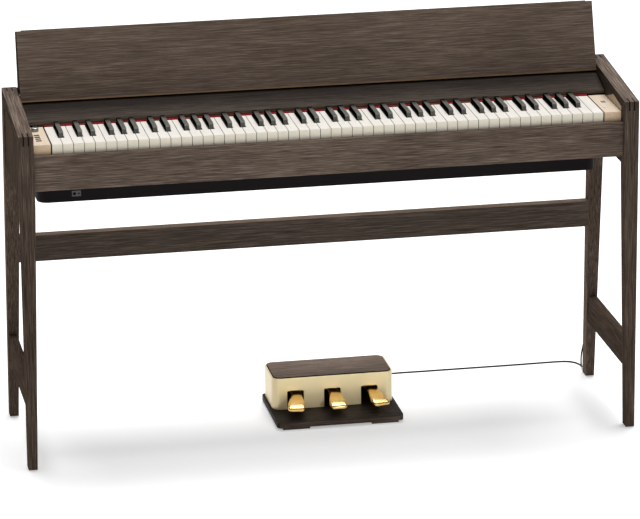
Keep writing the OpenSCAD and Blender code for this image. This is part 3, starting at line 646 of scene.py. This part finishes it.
def build_knob(materials):
    """A turned knob: satin top, finely ribbed side."""
    low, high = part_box("volume_knob")
    center = (low + high) / 2
    top = high.z
    at = (center.x, center.y, top - KNOB_TALL)
    bm = lathe(KNOB_PROFILE, at, (0, 0, 1), steps=KNOB_STEPS, ripple=knob_ribs)
    piece = add_mesh("volume_knob_look", bm, materials["silver"], "volume_knob")
    piece.data.materials.append(materials["knob_side"])
    for face in piece.data.polygons:
        if top - KNOB_SKIRT + KNOB_FOOT_EDGE < face.center.z < top - KNOB_TOP_EDGE:
            face.material_index = 1
    weigh_normals(piece)


# ---------------------------------------------------------------- pedals

# Sections of a pedal, in mm: distance behind its tip, half width, top and bottom
PEDAL_SECTIONS = [
    (0.2, 13.5, 37.6, 32.2), (1.2, 16.4, 39.0, 31.2), (4.0, 18.6, 40.8, 30.7), (8.0, 19.8, 42.0, 31.2),
    (14.0, 20.4, 43.9, 32.2), (22.0, 20.0, 45.8, 33.4), (34.0, 18.0, 48.4, 35.3), (48.0, 15.0, 50.6, 37.4),
    (62.0, 12.4, 53.2, 39.5), (78.0, 12.0, 55.6, 41.9), (100.0, 12.0, 53.4, 39.6), (130.0, 12.0, 50.6, 36.6),
    (158.0, 12.0, 48.6, 36.0), (162.0, 11.6, 47.6, 36.6),
]
# The tips, and where the outer pedals turn outwards, in mm from the front legs' front faces
PEDAL_TIP_Y = 168
PEDAL_NECK_Y = 246
PEDAL_SPLAY = math.radians(10)
PEDAL_MIDDLE_X = 42.5
PEDAL_PITCH = 85.5
# Powers that make a section squarer than an oval, across and upwards
PEDAL_SQUARE_ACROSS = 0.45
PEDAL_SQUARE_UP = 0.5


def pedal_ring(x, turn, distance, half_w, top, bottom, steps=24):
    """A rounded section across a pedal, turned with it in front of the neck."""
    ring = []
    middle = (top + bottom) / 2
    ahead = PEDAL_NECK_Y - PEDAL_TIP_Y - distance
    for k in range(steps):
        angle = 2 * math.pi * k / steps
        c, s = math.cos(angle), math.sin(angle)
        across = half_w * math.copysign(abs(c) ** PEDAL_SQUARE_ACROSS, c)
        rise = (top - bottom) / 2 * math.copysign(abs(s) ** PEDAL_SQUARE_UP, s)
        if ahead > 0:
            px = x + ahead * math.sin(turn) + across * math.cos(turn)
            py = PEDAL_NECK_Y - ahead * math.cos(turn) + across * math.sin(turn)
        else:
            px = x + across
            py = PEDAL_TIP_Y + distance
        ring.append(Vector((px * MM, (py - HALF_DEPTH) * MM, (middle + rise) * MM)))
    return ring


def build_pedals(materials):
    """Cast gold pedals, each one smooth lofted form."""
    for name, side in (("left", -1), ("middle", 0), ("right", 1)):
        node = "pedal_" + name
        x = PEDAL_MIDDLE_X + side * PEDAL_PITCH
        rings = [pedal_ring(x, side * PEDAL_SPLAY, *section) for section in PEDAL_SECTIONS]
        piece = add_mesh(node + "_look", rings_to_bmesh(rings), materials["gold"], node)
        smooth = piece.modifiers.new("smooth", "SUBSURF")
        smooth.levels = 2
        smooth.render_levels = 2


# ---------------------------------------------------------------- cord

# The pedal cord's route, as in the CAD source: x, y from the front legs' front faces, and z, in mm
CORD_ROUTE = [
    (140, 381, 24), (140, 392, 23), (142, 406, 18), (147, 422, 11), (156, 438, 5), (168, 452, 2.2),
    (184, 463, 1.9), (204, 470, 1.9), (230, 472, 1.9), (300, 472, 1.9), (370, 472, 1.9), (440, 472, 1.9),
    (510, 472, 1.9), (580, 473, 1.9), (628, 473, 1.9), (648, 470, 1.9), (662, 461, 1.9),
    (670, 448, 1.9), (673, 434, 2.2), (671, 420, 5), (667, 408, 12), (664, 399, 24), (663, 394, 40),
    (665, 391, 60), (669, 389, 80), (673, 386.5, 100), (674, 382.4, 140),
    (674, 366.2, 300), (674, 356, 400), (674, 347.9, 480), (674, 344.4, 514), (673, 342.5, 535),
    (669, 343, 555), (660, 344.5, 570), (647, 346, 582), (630, 346, 588), (614, 344, 590),
    (601, 339, 590), (593, 331, 590), (591, 321, 590),
]
CORD_DIAMETER = 3.6 * MM


def sleeve_profile():
    """The bend relief's outline: a flange and five rings that grow thinner."""
    profile = [(3.2, 0), (3.2, 5), (5.0, 5.05), (5.0, 7.0)]
    for n in range(5):
        base = 7.2 + n * 4.2
        outer = 4.0 - n * 0.33
        inner = outer - 0.7
        profile += [(outer, base), (outer, base + 2.6), (inner, base + 2.9), (inner, base + 3.9)]
    return profile + [(2.35, 28.2), (2.2, 29.0)]


def plug_profile():
    """The plug's outline: pin, grip and three grooves."""
    profile = [(1.7, 0), (1.75, 0.6), (1.75, 12), (4.4, 12.05), (4.5, 12.4), (4.5, 20.5)]
    for n in range(3):
        base = n * 3
        profile += [(4.5, 21.5 + base), (3.9, 21.7 + base), (3.9, 23.1 + base), (4.3 - n * 0.3, 23.3 + base)]
    return profile + [(3.2, 31), (2.2, 32.5)]


def build_cord_end(node, profile, x, z, material):
    """A rubber part turned round the cord, from its CAD node's front end towards the back."""
    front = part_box(node)[0].y
    bm = lathe(profile, (x, front, z), (0, 1, 0), steps=32)
    return add_mesh(node + "_look", bm, material, node, smooth=False)


def build_cord(materials):
    """The pedal cord, its tapered sleeve and its plug."""
    curve = bpy.data.curves.new("pedal_cord_look", "CURVE")
    curve.dimensions = "3D"
    curve.bevel_depth = CORD_DIAMETER / 2
    curve.bevel_resolution = 5
    curve.resolution_u = 10
    curve.use_fill_caps = True
    spline = curve.splines.new("BEZIER")
    spline.bezier_points.add(len(CORD_ROUTE) - 1)
    for point, (x, y, z) in zip(spline.bezier_points, CORD_ROUTE):
        point.co = (x * MM, (y - HALF_DEPTH) * MM, z * MM)
        point.handle_left_type = "AUTO"
        point.handle_right_type = "AUTO"
    cord = link_object("pedal_cord_look", curve)
    curve.materials.append(materials["cord"])
    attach(cord, "piano")
    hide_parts("pedal_cord")

    start = Vector(spline.bezier_points[0].co)
    build_cord_end("cord_relief", sleeve_profile(), start.x, start.z, materials["rubber"])
    low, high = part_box("cord_plug")
    middle = (low + high) / 2
    plug = build_cord_end("cord_plug", plug_profile(), middle.x, middle.z, materials["rubber"])


# ---------------------------------------------------------------- stage

FLOOR_HALF_SIZE = 30
FLOOR_GRAY = 0.86
# How much light the lit studio floor gives off by itself
FLOOR_GLOW = 0.32
WHITE = (1, 1, 1, 1)
WORLD_STRENGTH = 0.22
CEILING_ENERGY = 3.5
CEILING_ANGLE = math.radians(44)
CEILING_TURN = (math.radians(-13), math.radians(6), 0)
SPOT_ENERGY = 130
SPOT_CONE = math.radians(16)
SPOT_RADIUS = 0.25
SPOT_AT = Vector((0.9, -4.0, 1.1))
SPOT_LOOKS_AT = Vector((0.04, 0.05, 0.05))


def add_floor():
    """A wide pale floor that glows a little, as under strong studio lights."""
    bm = bmesh.new()
    bmesh.ops.create_grid(bm, x_segments=1, y_segments=1, size=FLOOR_HALF_SIZE)
    mesh = bpy.data.meshes.new("floor")
    bm.to_mesh(mesh)
    bm.free()
    floor = link_object("floor", mesh)
    pale = Shade("floor_pale", color=(FLOOR_GRAY,) * 3, roughness=0.9, emission_strength=FLOOR_GLOW)
    pale.bsdf.inputs["Emission Color"].default_value = WHITE
    mesh.materials.append(pale.material)


def aim(light, at, look_at):
    """Puts a light at a place and turns it towards another."""
    light.location = at
    light.rotation_euler = (Vector(look_at) - Vector(at)).to_track_quat("-Z", "Y").to_euler()


def add_area_light(name, at, look_at, size, energy):
    """A rectangular light that the camera doesn't see."""
    data = bpy.data.lights.new(name, "AREA")
    data.shape = "RECTANGLE"
    data.size, data.size_y = size
    data.energy = energy
    light = link_object(name, data)
    light.visible_camera = False
    aim(light, at, look_at)


def add_pedal_light():
    """A soft spot from the front that lifts the pedal unit out of the piano's own shadow."""
    data = bpy.data.lights.new("pedal_spot", "SPOT")
    data.energy = SPOT_ENERGY
    data.spot_size = SPOT_CONE
    data.spot_blend = 1.0
    data.shadow_soft_size = SPOT_RADIUS
    aim(link_object("pedal_spot", data), SPOT_AT, SPOT_LOOKS_AT)


def add_ceiling():
    """A very wide sun, which stands for a lit studio ceiling."""
    data = bpy.data.lights.new("ceiling", "SUN")
    data.energy = CEILING_ENERGY
    data.angle = CEILING_ANGLE
    link_object("ceiling", data).rotation_euler = CEILING_TURN


def add_lights():
    """An even white studio: world, ceiling, a softbox in front, a bright backdrop and the pedals' spot."""
    world = bpy.data.worlds.new("studio")
    world.use_nodes = True
    background = world.node_tree.nodes["Background"]
    background.inputs["Color"].default_value = WHITE
    background.inputs["Strength"].default_value = WORLD_STRENGTH
    bpy.context.scene.world = world
    add_ceiling()
    add_area_light("softbox", at=(-0.9, -3.4, 2.6), look_at=(0, 0, 0.3), size=(2.6, 0.6), energy=12)
    add_area_light("backdrop", at=(0.6, 6.0, 2.4), look_at=(0, 0, 0.6), size=(9.0, 3.0), energy=48)
    add_pedal_light()
    bpy.context.scene.view_settings.view_transform = "Standard"


# ---------------------------------------------------------------- the scene

add_camera()
MATERIALS = make_materials()
build_cord(MATERIALS)
build_solid_parts(MATERIALS)
build_liners(MATERIALS)
build_knob(MATERIALS)
build_pedals(MATERIALS)
add_floor()
add_lights()
